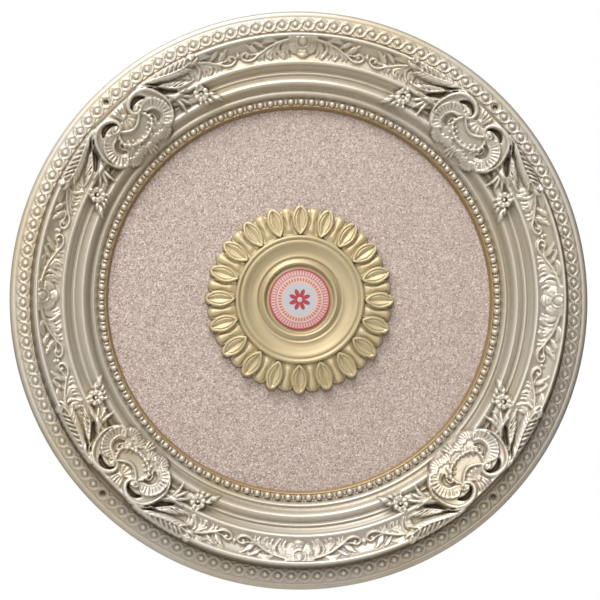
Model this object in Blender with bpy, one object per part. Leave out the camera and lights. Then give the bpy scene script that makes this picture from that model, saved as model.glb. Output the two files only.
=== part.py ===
"""Ceiling rose: a carved ring, a glitter panel in its rebate, an egg rosette and a round label.

The rose stands upright with its face towards -Y. The origin is on the axis, on the plane of the back.
"""
import math

import bmesh
import bpy
import numpy as np

# The ring's members, from the rim inwards: the width of each across the ring, and its height above the back.
OUTER_RADIUS = 0.300
EDGE_HEIGHT = 0.009
RIM_WIDTH = 0.0062
RIM_HEIGHT = 0.0102
BAND_WIDTH = 0.0130
BAND_HEIGHT = 0.0116
COVE_WIDTH = 0.0052
CREST_WIDTH = 0.0040
CREST_HEIGHT = 0.0378
FRIEZE_WIDTH = 0.0246
FRIEZE_FOOT_HEIGHT = 0.0274
FILLET_WIDTH = 0.0024
FILLET_HEIGHT = 0.0282
SCOTIA_WIDTH = 0.0072
SCOTIA_HEIGHT = 0.0183
BEAD_WIDTH = 0.0040
BEAD_RISE = 0.0020
OVOLO_WIDTH = 0.0094
OVOLO_HEIGHT = 0.0218
LOWER_SCOTIA_WIDTH = 0.0078
LOWER_SCOTIA_HEIGHT = 0.0152
LOWER_CREST_WIDTH = 0.0022
LOWER_CREST_HEIGHT = 0.0168
SLOPE_WIDTH = 0.0046
PEARL_LEDGE_WIDTH = 0.0082
PEARL_LEDGE_HEIGHT = 0.0108
LIP_SLOPE_WIDTH = 0.0030
LIP_HEIGHT = 0.0062

# Screw holes through the outer band.
SCREW_HOLE_RADIUS = 0.0025
SCREW_HOLE_COUNT = 4

# Panel, rosette and label.
PANEL_THICKNESS = 0.0030
PANEL_LAP = 0.0075
CLEARANCE = 0.0003
ROSETTE_RADIUS = 0.0986
ROSETTE_EDGE_HEIGHT = 0.0035
EGG_COUNT = 20
EGG_HEIGHT = 0.0140
EGG_WIDTH = 0.0168
EGG_INNER_RADIUS = 0.0690
EGG_BED_HEIGHT = 0.0085
ROSETTE_LIP_INSET = 0.0035
ROSETTE_LIP_HEIGHT = 0.0165
ROSETTE_LIP_WIDTH = 0.0050
DISH_STEP_RADIUS = 0.0530
DISH_STEP_HEIGHT = 0.0120
DISH_RING_RADIUS = 0.0440
DISH_RING_HEIGHT = 0.0105
DISH_FLOOR_RADIUS = 0.0350
DISH_FLOOR_HEIGHT = 0.0060
LABEL_RADIUS = 0.0318
LABEL_THICKNESS = 0.0004

# Carving: its quarters, and the fineness of the meshes.
QUARTERS = 4
COLUMNS_PER_HALF = 140
ROW_STEP = 0.0009
SOFT_PASSES = 3
CARVED_FACES = 5700
ROSETTE_FACES = 1450
ROUND_SEGMENTS = 84
HOLE_SEGMENTS = 16

CREST_RADIUS = OUTER_RADIUS - RIM_WIDTH - BAND_WIDTH - COVE_WIDTH - CREST_WIDTH / 2
HALF_SECTOR = math.pi / QUARTERS


def clear_scene():
    for item in list(bpy.data.objects):
        bpy.data.objects.remove(item, do_unlink=True)


def material(name, color, roughness, metallic):
    mat = bpy.data.materials.new(name)
    mat.use_nodes = True
    shader = mat.node_tree.nodes["Principled BSDF"]
    shader.inputs["Base Color"].default_value = (*color, 1.0)
    shader.inputs["Roughness"].default_value = roughness
    shader.inputs["Metallic"].default_value = metallic
    return mat


# Sections of the turned members, as (radius, height) points that run inwards.

def hollow(start, end, count=5):
    """Concave quarter from start to end: it leaves start level and reaches end steeply."""
    turns = [math.pi / 2 * k / count for k in range(1, count + 1)]
    return [(start[0] + (end[0] - start[0]) * math.sin(t), start[1] + (end[1] - start[1]) * (1 - math.cos(t)))
            for t in turns]


def swell(start, end, rise, count=6):
    """Half-round from start to end that stands `rise` above the line between them."""
    shares = [k / count for k in range(1, count + 1)]
    return [(start[0] + (end[0] - start[0]) * (1 - math.cos(math.pi * s)) / 2,
             start[1] + (end[1] - start[1]) * s + rise * math.sin(math.pi * s)) for s in shares]


def carved_profile():
    """The section under the carving, from the cove's foot inwards to the pearl ledge."""
    points = [(OUTER_RADIUS - RIM_WIDTH - BAND_WIDTH, BAND_HEIGHT)]

    def inner(width):
        return points[-1][0] - width

    points.extend(hollow(points[-1], (inner(COVE_WIDTH), CREST_HEIGHT)))
    points.append((inner(CREST_WIDTH / 2), CREST_HEIGHT + CREST_WIDTH / 6))
    points.append((inner(CREST_WIDTH / 2), CREST_HEIGHT - CREST_WIDTH / 4))
    points.extend(swell(points[-1], (inner(FRIEZE_WIDTH), FRIEZE_FOOT_HEIGHT), -FRIEZE_WIDTH / 12))
    points.append((inner(0), FILLET_HEIGHT))
    points.append((inner(FILLET_WIDTH), FILLET_HEIGHT))
    foot = (inner(SCOTIA_WIDTH), SCOTIA_HEIGHT)
    points.extend(reversed(hollow(foot, points[-1])[:-1]))
    points.append(foot)
    points.extend(swell(foot, (inner(BEAD_WIDTH), SCOTIA_HEIGHT), BEAD_RISE))
    points.extend(swell(points[-1], (inner(OVOLO_WIDTH), SCOTIA_HEIGHT), OVOLO_HEIGHT - SCOTIA_HEIGHT))
    points.extend(swell(points[-1], (inner(LOWER_SCOTIA_WIDTH), LOWER_SCOTIA_HEIGHT), -BEAD_RISE / 2))
    points.extend(swell(points[-1], (inner(LOWER_CREST_WIDTH), LOWER_SCOTIA_HEIGHT),
                        LOWER_CREST_HEIGHT - LOWER_SCOTIA_HEIGHT, count=4))
    points.append((inner(SLOPE_WIDTH), PEARL_LEDGE_HEIGHT))
    return points


CARVED_PROFILE = carved_profile()
LEDGE_RADIUS = CARVED_PROFILE[-1][0]
INNER_RADIUS = LEDGE_RADIUS - PEARL_LEDGE_WIDTH - LIP_SLOPE_WIDTH
SEAT_RADIUS = INNER_RADIUS + PANEL_LAP
SCREW_CIRCLE_RADIUS = OUTER_RADIUS - RIM_WIDTH - BAND_WIDTH / 2
ROSETTE_LIP_RADIUS = EGG_INNER_RADIUS - ROSETTE_LIP_INSET


# Carving. A place is an angle in degrees from a half-flower's axis (0) towards a cartouche's axis (45), and
# a depth in millimetres inside the crest. The carving is drawn on the flat strip that these two unroll.

ARC_PER_DEGREE = math.radians(1.0) * (CREST_RADIUS - FRIEZE_WIDTH / 2)
MM = 0.001


def place(angle, depth):
    return np.array((angle * ARC_PER_DEGREE, CREST_RADIUS - depth * MM))


def smooth_line(*places, steps=5):
    """A smooth curve through the places, as points on the strip."""
    knots = np.array([place(*spot) for spot in places])
    ends = np.vstack([2 * knots[0] - knots[1], knots, 2 * knots[-1] - knots[-2]])
    share = np.linspace(0, 1, steps, endpoint=False)[:, None]
    line = []
    for a, b, c, d in zip(ends, ends[1:], ends[2:], ends[3:]):
        line.append(0.5 * (2 * b + (c - a) * share + (2 * a - 5 * b + 4 * c - d) * share ** 2
                           + (3 * b - a - 3 * c + d) * share ** 3))
    return np.vstack(line + [knots[-1:]])


class Relief:
    """Heights over the strip. Every form is laid on its ground and the highest one shows."""

    def __init__(self, along, radius, ground):
        self.along = along
        self.radius = radius
        self.ground = ground.copy()
        self.height = ground.copy()

    def lay(self, rise, inside):
        self.height = np.where(inside, np.maximum(self.height, self.ground + rise), self.height)

    def distance(self, line):
        """Distance to the line, the share of its length there, and the side on which the point lies."""
        best = np.full(self.along.shape, np.inf)
        share = np.zeros(self.along.shape)
        side = np.ones(self.along.shape)
        runs = np.diff(line, axis=0)
        lengths = np.hypot(runs[:, 0], runs[:, 1])
        starts = np.concatenate(([0.0], np.cumsum(lengths)))
        for start, run, length, before in zip(line, runs, lengths, starts):
            x = self.along - start[0]
            y = self.radius - start[1]
            reach = np.clip((x * run[0] + y * run[1]) / length ** 2, 0, 1)
            gap = np.hypot(x - reach * run[0], y - reach * run[1])
            nearer = gap < best
            best = np.where(nearer, gap, best)
            share = np.where(nearer, before + reach * length, share)
            side = np.where(nearer, np.sign(run[0] * y - run[1] * x), side)
        return best, share / starts[-1], side

    def cord(self, places, width, rise, end_width=None, end_rise=None):
        """A round-backed ridge, `width` and `rise` in millimetres, that may change towards its end."""
        gap, share, _ = self.distance(smooth_line(*places))
        half = MM * (width + ((end_width or width) - width) * share)
        top = MM * (rise + ((end_rise or rise) - rise) * share)
        across = np.minimum(gap / half, 1)
        self.lay(top * np.sqrt(1 - across ** 2), gap < half)

    def blade(self, places, width, rise, lobes=5):
        """A leaf blade along the places, with lobed edges and a groove between lobes."""
        gap, share, _ = self.distance(smooth_line(*places))
        form = np.sin(math.pi * share ** 0.7) ** 0.75
        lobe = np.abs(np.sin(math.pi * (lobes * share - 0.5 * np.minimum(gap / (width * MM), 1))))
        half = np.maximum(width * MM * form * (0.75 + 0.25 * lobe), 1e-6)
        across = np.minimum(gap / half, 1)
        self.lay(rise * MM * (0.4 + 0.6 * form) * np.sqrt(1 - across ** 2) * (0.75 + 0.25 * lobe), gap < half)

    def knob(self, centre, width, rise):
        spot = place(*centre)
        across = np.hypot(self.along - spot[0], self.radius - spot[1]) / (width * MM)
        self.lay(rise * MM * np.sqrt(np.maximum(1 - across ** 2, 0)), across < 1)

    def fan(self, centre, inner, outer, start, sweep, flutes, rise):
        """Flutes spread about the centre, from the angle `start` through `sweep` degrees."""
        spot = place(*centre)
        x = self.along - spot[0]
        y = self.radius - spot[1]
        reach = np.hypot(x, y) / MM
        turn = (np.degrees(np.arctan2(y, x)) - start) % 360 / sweep
        flute = np.abs(np.sin(math.pi * flutes * np.minimum(turn, 1))) ** 0.6
        out = (reach - inner) / (outer * (0.86 + 0.14 * flute) - inner)
        body = np.sqrt(np.clip((1 - out) * 4, 0, 1)) * (0.62 + 0.38 * flute)
        self.lay(rise * MM * body, (out > 0) & (out < 1) & (turn <= 1))

    def frill(self, places, width, rise, flutes):
        """A fluted band with a raised outer edge, on the right-hand side of its inner line."""
        gap, share, side = self.distance(smooth_line(*places))
        taper = np.sqrt(np.clip(2.2 * np.sin(math.pi * share), 0, 1))
        out = gap / np.maximum(width * MM * taper, 1e-6)
        flute = np.abs(np.cos(math.pi * flutes * share))
        body = (0.55 + 0.45 * flute) * (0.7 + 0.3 * out) + 0.3 * np.exp(-((out - 0.88) / 0.12) ** 2)
        inside = (side < 0) & (out < 1) & (share > 0) & (share < 1)
        self.lay(rise * MM * body * np.sqrt(np.clip((1 - out) * 6, 0, 1)), inside)

    def hole(self, places, width, depth):
        gap, share, _ = self.distance(smooth_line(*places))
        half = width * MM * np.sqrt(np.sin(math.pi * np.clip(share, 0.02, 0.98)))
        across = np.minimum(gap / half, 1)
        self.height = self.height - depth * MM * (1 - across ** 4) ** 0.7


def half_flower(relief):
    """The flower that hangs from the crest at 0 degrees, and the fluted lobe beside it."""
    relief.fan((0, 2.5), 1, 20.5, 180, 180, 5, 4.2)
    relief.knob((0, 4), 8, 5.8)
    relief.fan((3.0, 2), 6, 22.5, 268, 77, 3, 3.8)


def mirrored(places, flip):
    """The frieze's scrolls repeat, mirrored about 15 degrees."""
    return [(30 - angle, depth) for angle, depth in places] if flip else places


def frieze_scrolls(relief):
    for flip in (False, True):
        for k in range(3):
            foot = 6.9 + 1.25 * k
            lobe = [(foot - 0.4, 12 + 1.5 * k), (foot + 0.2, 18 + 0.6 * k), (foot + 1.1, 22.4 - 0.4 * k)]
            relief.cord(mirrored(lobe, flip), 1.8, 1.4, 2.4, 3.2)
        stem = [(3.6, 2), (6.2, 6), (8.4, 12), (10.4, 15.2)]
        relief.cord(mirrored(stem, flip), 1.8, 2.6, 2.4, 3.8)
        relief.blade(mirrored([(10.3, 16), (11.2, 9.5), (12.5, 2.5)], flip), 4.4, 3.6, 3)
        relief.blade(mirrored([(10.2, 15.5), (9.2, 10), (9.2, 3.5)], flip), 3.6, 3.0, 3)
        scroll = [(10.3, 16), (10.6, 20), (11.8, 22.2), (13.6, 20.4), (14.3, 15.4), (13.4, 12.6), (13.2, 14.4)]
        relief.cord(mirrored(scroll, flip), 2.6, 3.4, 2.2, 4.2)


def great_leaves(relief):
    """The leaves that sweep from the cartouche along the frieze, and their bud on the crest."""
    relief.blade([(40.5, -0.6), (35, -0.6), (29.5, 2.8), (26, 4.6), (24.4, 0.4)], 6.6, 5.6, 7)
    relief.cord([(38.8, 1.4), (32.4, 3), (27, 7.4), (24.2, 3)], 1.8, 4.8, 1.6, 4.2)
    relief.knob((24.9, -1), 4.4, 4.8)
    relief.blade([(38, 3.6), (32.8, 10.8), (29.2, 10.6), (25.2, 12.8)], 4.4, 4.6, 5)
    relief.blade([(37.2, 11), (33.2, 19.6), (31, 21), (27.4, 15.6)], 3.4, 4.2, 4)
    relief.blade([(24.6, 7.2), (22, 3.8), (19.4, 2)], 4.0, 3.0, 3)
    relief.hole([(34.6, 9.4), (33.2, 15), (31.2, 20.4)], 3.2, 7)
    for k in range(4):
        foot = 21.8 + 1.5 * k
        relief.cord([(foot + 1.1, 14.6), (foot + 0.4, 18.4), (foot - 0.2, 22)], 1.8, 1.6, 2.6, 2.8)


def daisy(relief):
    """The daisy on the inner mouldings, with a spray of leaves on either side."""
    ground = relief.ground
    relief.ground = np.maximum(np.interp(relief.radius, CREST_RADIUS - MM * np.array((58, 43, 28)),
                                         MM * np.array((16, 23.5, 24))), ground)
    relief.fan((26.2, 39.4), 0.5, 10.4, 0, 360, 8, 3.8)
    relief.knob((26.2, 39.4), 4.4, 5.6)
    relief.blade([(25, 45.6), (23.6, 49.6), (21.4, 51.8)], 2.8, 3.4, 2)
    relief.blade([(25.4, 46), (25.0, 50), (24.2, 53)], 2.4, 3.2, 2)
    relief.blade([(34, 24.4), (32.2, 34), (31.9, 46)], 2.8, 4.4, 3)
    relief.blade([(34, 24.4), (30.8, 34), (29.6, 42.4)], 2.8, 4.2, 3)
    relief.ground = ground


def cartouche(relief):
    """The shell between two volutes at 45 degrees, raised on its own swelling ground."""
    ground = relief.ground
    depths = np.array((66, 57, 43, 26, 11, 0, -2.5))
    swelling = np.array((10.5, 18, 24.5, 29.5, 33, 37.2, 0))
    relief.ground = np.maximum(np.interp(relief.radius, CREST_RADIUS - depths * MM, swelling * MM), ground)
    half_width = np.interp(CREST_RADIUS - relief.radius, MM * np.array((-1, 0, 8, 26, 46, 58, 66, 68)),
                           ARC_PER_DEGREE * np.array((-1, 6, 10, 11.2, 9.8, 6.4, 0.6, -1)))
    middle = math.degrees(HALF_SECTOR) * ARC_PER_DEGREE
    relief.lay(0.6 * MM, np.abs(relief.along - middle) < half_width)
    relief.fan((41.0, 44), 3, 15, 205, 95, 3, 3.4)
    relief.fan((45, 46), 3, 18.6, 242, 56, 3, 4.2)
    shell = [(40.6, 14.8), (38.4, 15.9), (36.9, 19.6), (36.1, 25.8), (36.0, 32.6), (36.7, 38.2), (37.9, 40.8)]
    relief.frill(shell, 8.2, 5.4, 8)
    relief.cord([(34.8, 39), (36.6, 47), (38.8, 44.6), (37.6, 41.6)], 1.8, 4.8)
    pool_rim = [(41.2, 16.4), (40.1, 24), (40.2, 32.2), (41.4, 39.4), (45, 43.2), (49, 38)]
    relief.frill([(angle + 0.9, depth - 2) for angle, depth in pool_rim], 7, 4.2, 6)
    relief.cord(pool_rim, 2.0, 5.0)
    relief.cord([(41.2, 18.4), (42.4, 25.2), (45, 28.4), (48.2, 23)], 2.2, 5.4)
    relief.fan((45, 11.4), 3.5, 14.4, 205, 130, 3, 3.8)
    relief.fan((45, 24.4), 11, 25, 62, 56, 3, 5.8)
    relief.hole([(42.6, 12.4), (41.6, 5.2), (39.2, 3.8), (37.8, 6.4)], 3.3, 8)
    relief.cord([(41.0, 19), (43.0, 18), (43.7, 12), (42.6, 3.6), (39.6, 0.4), (36.4, 6.6)], 2.8, 6.4, 2.0, 4.4)
    relief.knob((41.4, 14.8), 4.6, 6.6)
    relief.ground = ground


def softened(relief):
    """Blends the carving's steps over neighbouring samples, as a worn mould does."""
    rise = relief.height - relief.ground
    for _ in range(SOFT_PASSES):
        near = np.pad(rise, 1, mode="reflect")
        rise = (near[:-2, 1:-1] + near[2:, 1:-1] + near[1:-1, :-2] + near[1:-1, 2:] + 4 * rise) / 8
    return relief.ground + rise


def carved_heights(radii, angles):
    """Heights of the carved members at every radius and angle of one half sector."""
    along, radius = np.meshgrid(np.degrees(angles) * ARC_PER_DEGREE, radii)
    profile = np.array(CARVED_PROFILE[::-1])
    relief = Relief(along, radius, np.interp(radius, profile[:, 0], profile[:, 1]))
    for carve in (half_flower, frieze_scrolls, great_leaves, cartouche, daisy):
        carve(relief)
    return softened(relief)


def rosette_heights(radii, angles):
    """A row of eggs round a raised lip, and a stepped dish inside it."""
    turned = [(0, DISH_FLOOR_HEIGHT), (DISH_FLOOR_RADIUS, DISH_FLOOR_HEIGHT),
              (DISH_RING_RADIUS, DISH_RING_HEIGHT), (DISH_STEP_RADIUS, DISH_STEP_HEIGHT)]
    lip_foot = (ROSETTE_LIP_RADIUS - ROSETTE_LIP_WIDTH, DISH_STEP_HEIGHT)
    lip_end = (ROSETTE_LIP_RADIUS + ROSETTE_LIP_WIDTH / 2, EGG_BED_HEIGHT)
    turned.append(lip_foot)
    turned.extend(swell(lip_foot, lip_end, ROSETTE_LIP_HEIGHT - DISH_STEP_HEIGHT))
    turned.append((ROSETTE_RADIUS, ROSETTE_EDGE_HEIGHT))
    turned = np.array(turned)
    angle, radius = np.meshgrid(angles, radii)
    ground = np.interp(radius, turned[:, 0], turned[:, 1])
    pitch = 2 * math.pi / EGG_COUNT
    share = np.clip((radius - EGG_INNER_RADIUS) / (ROSETTE_RADIUS - EGG_INNER_RADIUS), 0, 1)
    form = np.sin(math.pi * share ** 1.2) ** 0.55
    egg = np.abs((angle + pitch / 2) % pitch - pitch / 2) * radius / np.maximum(EGG_WIDTH / 2 * form, 1e-6)
    lobe = np.abs(angle % pitch - pitch / 2) * radius / (EGG_WIDTH / 3)
    eggs = (EGG_HEIGHT - EGG_BED_HEIGHT) * np.sqrt(np.maximum(1 - egg ** 2, 0)) * form ** 0.5
    lobes = (EGG_HEIGHT - EGG_BED_HEIGHT) * 0.6 * np.sqrt(np.maximum(1 - lobe ** 2, 0)) * form ** 0.5
    return ground + np.maximum(eggs, lobes)


# Solids.

def world_place(radius, angle, height):
    return (radius * math.sin(angle), -height, radius * math.cos(angle))


def link(name, mesh, mat):
    item = bpy.data.objects.new(name, mesh)
    item.data.materials.append(mat)
    bpy.context.scene.collection.objects.link(item)
    return item


def cast_face(name, radii, angles, heights, faces):
    """The carved face as an open mesh, reduced to about the given number of triangles."""
    columns = len(angles)
    verts = [world_place(radius, angle, height) for radius, row in zip(radii, heights)
             for angle, height in zip(angles, row)]
    quads = [(r * columns + c, r * columns + (c + 1) % columns,
              (r + 1) * columns + (c + 1) % columns, (r + 1) * columns + c)
             for r in range(len(radii) - 1) for c in range(columns)]
    mesh = bpy.data.meshes.new(name)
    mesh.from_pydata(verts, [], quads)
    item = bpy.data.objects.new(name, mesh)
    bpy.context.scene.collection.objects.link(item)
    fewer = item.modifiers.new("Fewer faces", "DECIMATE")
    fewer.ratio = faces / (2 * len(quads))
    reduced = bmesh.new()
    reduced.from_object(item, bpy.context.evaluated_depsgraph_get())
    bpy.data.objects.remove(item)
    return reduced


def bearing(vert):
    """The angle of a vertex about the axis, from the top."""
    return round(math.atan2(vert.co.x, vert.co.z), 6) % (2 * math.pi)


def open_rims(shape):
    """The vertices on the open edges, as the outer rim and the inner one, each in order round the axis."""
    rims = sorted((vert for vert in shape.verts if vert.is_boundary), key=bearing)
    reach = [math.hypot(vert.co.x, vert.co.z) for vert in rims]
    middle = (max(reach) + min(reach)) / 2
    outer = [vert for vert, far in zip(rims, reach) if far > middle]
    inner = [vert for vert, far in zip(rims, reach) if far <= middle]
    return outer, inner


def stitch(shape, first, second):
    """Joins two closed rows with triangles, in step by their bearings."""
    rows = (first, second)
    at = [0, 0]
    while at[0] < len(first) or at[1] < len(second):
        ahead = [bearing(row[step + 1]) if step + 1 < len(row) else 2 * math.pi for row, step in zip(rows, at)]
        done = [step >= len(row) for row, step in zip(rows, at)]
        moving = 1 if done[0] or (not done[1] and ahead[1] < ahead[0]) else 0
        here, there = first[at[0] % len(first)], second[at[1] % len(second)]
        at[moving] += 1
        shape.faces.new((here, rows[moving][at[moving] % len(rows[moving])], there))


def turn_on(shape, rim, rows):
    """Carries an open rim on over turned rows of (radius, height), and gives the last row."""
    for radius, height in rows:
        circle = [shape.verts.new(world_place(radius, 2 * math.pi * k / ROUND_SEGMENTS, height))
                  for k in range(ROUND_SEGMENTS)]
        stitch(shape, rim, circle)
        rim = circle
    return rim


def fill_flat(shape, rim):
    face = shape.faces.new(rim)
    bmesh.ops.triangulate(shape, faces=[face])


def finish_cast(name, shape, mat, sharp_angle):
    bmesh.ops.recalc_face_normals(shape, faces=shape.faces)
    mesh = bpy.data.meshes.new(name)
    shape.to_mesh(mesh)
    shape.free()
    mesh.shade_smooth()
    mesh.set_sharp_from_angle(angle=math.radians(sharp_angle))
    return link(name, mesh, mat)


def cylinder(name, radius, low, high, segments, x=0.0, z=0.0):
    """A mesh of a plain cylinder along Y, from `low` to `high` above the back."""
    shape = bmesh.new()
    bmesh.ops.create_cone(shape, cap_ends=True, segments=segments, radius1=radius, radius2=radius,
                          depth=high - low)
    for vert in shape.verts:
        across, up, height = vert.co
        vert.co = (x + across, -height - (low + high) / 2, z + up)
    bmesh.ops.recalc_face_normals(shape, faces=shape.faces)
    mesh = bpy.data.meshes.new(name)
    shape.to_mesh(mesh)
    shape.free()
    return mesh


def cut(target, name, mesh):
    cutter = bpy.data.objects.new(name, mesh)
    bpy.context.scene.collection.objects.link(cutter)
    cutter.hide_render = True
    cutter.display_type = "WIRE"
    boolean = target.modifiers.new(name, "BOOLEAN")
    boolean.operation = "DIFFERENCE"
    boolean.solver = "EXACT"
    boolean.object = cutter


def make_ring():
    foot_radius = CARVED_PROFILE[0][0]
    rows = round((foot_radius - LEDGE_RADIUS) / ROW_STEP)
    radii = np.linspace(LEDGE_RADIUS, foot_radius, rows + 1)
    half = np.linspace(0, HALF_SECTOR, COLUMNS_PER_HALF + 1)
    heights = carved_heights(radii, half)
    columns = 2 * QUARTERS * COLUMNS_PER_HALF
    turns = np.arange(columns)
    step = turns % (2 * COLUMNS_PER_HALF)
    half_index = np.minimum(step, 2 * COLUMNS_PER_HALF - step)
    shape = cast_face("frame_ring", radii, turns * 2 * math.pi / columns, heights[:, half_index], CARVED_FACES)
    outer, inner = open_rims(shape)
    seat_height = PANEL_THICKNESS + CLEARANCE
    outer = turn_on(shape, outer, ((OUTER_RADIUS - RIM_WIDTH, RIM_HEIGHT), (OUTER_RADIUS, EDGE_HEIGHT),
                                   (OUTER_RADIUS, 0.0)))
    inner = turn_on(shape, inner, ((INNER_RADIUS + LIP_SLOPE_WIDTH, PEARL_LEDGE_HEIGHT),
                                   (INNER_RADIUS, LIP_HEIGHT), (INNER_RADIUS, seat_height),
                                   (SEAT_RADIUS, seat_height), (SEAT_RADIUS, 0.0)))
    stitch(shape, outer, inner)
    ring = finish_cast("frame_ring", shape, material("champagne paint", (0.62, 0.57, 0.47), 0.35, 0.5), 50)
    for k in range(SCREW_HOLE_COUNT):
        angle = 2 * math.pi * (k + 0.5) / SCREW_HOLE_COUNT
        mesh = cylinder(f"screw hole {k}", SCREW_HOLE_RADIUS, -BAND_HEIGHT, 2 * BAND_HEIGHT, HOLE_SEGMENTS,
                        SCREW_CIRCLE_RADIUS * math.sin(angle), SCREW_CIRCLE_RADIUS * math.cos(angle))
        cut(ring, f"screw hole {k}", mesh)


def make_panel():
    radius = SEAT_RADIUS - CLEARANCE
    mesh = cylinder("panel_disc", radius, 0.0, PANEL_THICKNESS, ROUND_SEGMENTS)
    mesh.set_sharp_from_angle(angle=math.radians(30))
    link("panel_disc", mesh, material("pink glitter sand", (0.58, 0.47, 0.41), 0.6, 0.0))


def make_rosette():
    back = PANEL_THICKNESS + CLEARANCE
    columns = 2 * EGG_COUNT * 6
    radii = np.linspace(DISH_FLOOR_RADIUS, ROSETTE_RADIUS, 80)
    angles = np.arange(columns) * 2 * math.pi / columns
    shape = cast_face("centre_rosette", radii, angles, rosette_heights(radii, angles) + back, ROSETTE_FACES)
    outer, inner = open_rims(shape)
    fill_flat(shape, inner)
    foot = turn_on(shape, outer, ((ROSETTE_RADIUS, back),))
    fill_flat(shape, foot)
    finish_cast("centre_rosette", shape, material("gold paint", (0.52, 0.44, 0.24), 0.35, 0.6), 50)


def make_label():
    low = PANEL_THICKNESS + DISH_FLOOR_HEIGHT + 2 * CLEARANCE
    mesh = cylinder("centre_label", LABEL_RADIUS, low, low + LABEL_THICKNESS, ROUND_SEGMENTS // 3)
    link("centre_label", mesh, material("printed paper", (0.75, 0.55, 0.5), 0.5, 0.0))


clear_scene()
make_ring()
make_panel()
make_rosette()
make_label()
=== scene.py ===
import math

import bmesh
import bpy
import numpy as np
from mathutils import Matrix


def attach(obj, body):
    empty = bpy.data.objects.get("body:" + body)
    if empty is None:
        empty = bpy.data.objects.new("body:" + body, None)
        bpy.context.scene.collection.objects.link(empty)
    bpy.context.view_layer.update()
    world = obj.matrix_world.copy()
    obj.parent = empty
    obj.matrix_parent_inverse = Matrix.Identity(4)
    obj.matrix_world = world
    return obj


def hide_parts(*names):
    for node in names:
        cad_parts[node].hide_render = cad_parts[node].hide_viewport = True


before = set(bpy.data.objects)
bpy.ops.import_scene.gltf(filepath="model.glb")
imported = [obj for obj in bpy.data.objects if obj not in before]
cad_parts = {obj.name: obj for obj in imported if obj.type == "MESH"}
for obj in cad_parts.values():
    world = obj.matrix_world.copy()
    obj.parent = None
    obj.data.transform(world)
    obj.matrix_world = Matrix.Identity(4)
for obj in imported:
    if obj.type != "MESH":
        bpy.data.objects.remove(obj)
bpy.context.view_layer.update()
print("frame loaded:", ", ".join(sorted(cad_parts)))


# Camera. The rose hangs upright in the frame, and the photograph looks at it almost straight on.
cameraSettings = {
    "distance": 6.0,          # far off, so the rose shows almost without perspective
    "widthSeen": 0.6215,      # metres across the picture, at the rim
    "azimuth": -4.0,          # the photograph looks from a little to the left
    "elevation": -3.5,        # and from a little below
    "roll": -0.4,
    "rimHeight": 0.009,       # metres from the back to the rim
    "shiftRight": 0.0029, "shiftUp": -0.0004,
    "sensor": 36.0,
}


def addObject(name, data):
    made = bpy.data.objects.new(name, data)
    bpy.context.scene.collection.objects.link(made)
    return made


def makeCamera():
    c = cameraSettings
    az, el = math.radians(c["azimuth"]), math.radians(c["elevation"])
    ahead = np.array((-math.sin(az) * math.cos(el), math.cos(az) * math.cos(el), -math.sin(el)))
    right = np.array((math.cos(az), math.sin(az), 0.0))
    up = np.cross(right, ahead)
    spot = np.array((0, -c["rimHeight"], 0)) - ahead * c["distance"] + right * c["shiftRight"] + up * c["shiftUp"]
    camera = addObject("camera", bpy.data.cameras.new("camera"))
    camera.data.sensor_width = c["sensor"]
    camera.data.lens = c["sensor"] * c["distance"] / c["widthSeen"]
    camera.location = spot
    camera.rotation_euler = (math.radians(90 - c["elevation"]), math.radians(c["roll"]), az)
    bpy.context.scene.camera = camera


makeCamera()
print("camera set")


# Colours are written as sRGB hex values.
def toLinear(hexColour):
    parts = [int(hexColour[k:k + 2], 16) / 255 for k in (0, 2, 4)]
    return tuple(c / 12.92 if c <= 0.04045 else ((c + 0.055) / 1.055) ** 2.4 for c in parts) + (1.0,)


mixA, mixB, mixed = 6, 7, 2   # a Mix node's two colour inputs and its colour output


# A setting is a property of the node, the value of an input or the socket that leads into it. Stops are the places
# and colours of a ramp. What comes back is the node's first output, or the one that is asked for.
def addNode(tree, kind, settings, stops=(), give=0):
    node = tree.nodes.new("ShaderNode" + kind)
    if kind == "Mix":         # every Mix node here mixes colours
        node.data_type, give = "RGBA", mixed
    for name, value in settings.items():
        if isinstance(value, bpy.types.NodeSocket):
            tree.links.new(value, node.inputs[name])
        elif isinstance(name, str) and hasattr(node, name):
            setattr(node, name, value)
        else:
            node.inputs[name].default_value = value
    for k, (place, colour) in enumerate(stops):
        stop = node.color_ramp.elements[k] if k < 2 else node.color_ramp.elements.new(place)
        stop.position, stop.color = place, toLinear(colour)
    return node.outputs[give]


def newMaterial(name, settings):
    material = bpy.data.materials.new(name)
    material.use_nodes = True
    shader = material.node_tree.nodes["Principled BSDF"]
    for socket, value in settings.items():
        shader.inputs[socket].default_value = value
    place = addNode(material.node_tree, "TexCoord", {}, give="Object")
    return material, material.node_tree, shader, place


# noise and grain sizes are given in millimetres
def perMetre(millimetres):
    return 1000 / millimetres


def axisDistance(tree, place):
    flatPlace = addNode(tree, "VectorMath", {"operation": "MULTIPLY", 0: place, 1: (1, 0, 1)})
    return addNode(tree, "VectorMath", {"operation": "LENGTH", 0: flatPlace}, give="Value")


# fine relief over a whole surface, such as the peel of sprayed paint or the fibres of paper
def addRelief(tree, shader, place, size, detail, strength, depth):
    noise = addNode(tree, "TexNoise", {"Scale": perMetre(size), "Detail": detail, "Vector": place})
    bump = addNode(tree, "Bump", {"Strength": strength, "Distance": depth, "Height": noise})
    tree.links.new(bump, shader.inputs["Normal"])


# even angles all around
def fullTurn(count):
    return np.arange(count) * 2 * math.pi / count


# the height of a section, given as (radius, height) points, at any radius
def heightAt(radius, section):
    return np.interp(radius, *np.array(section).T)


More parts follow.
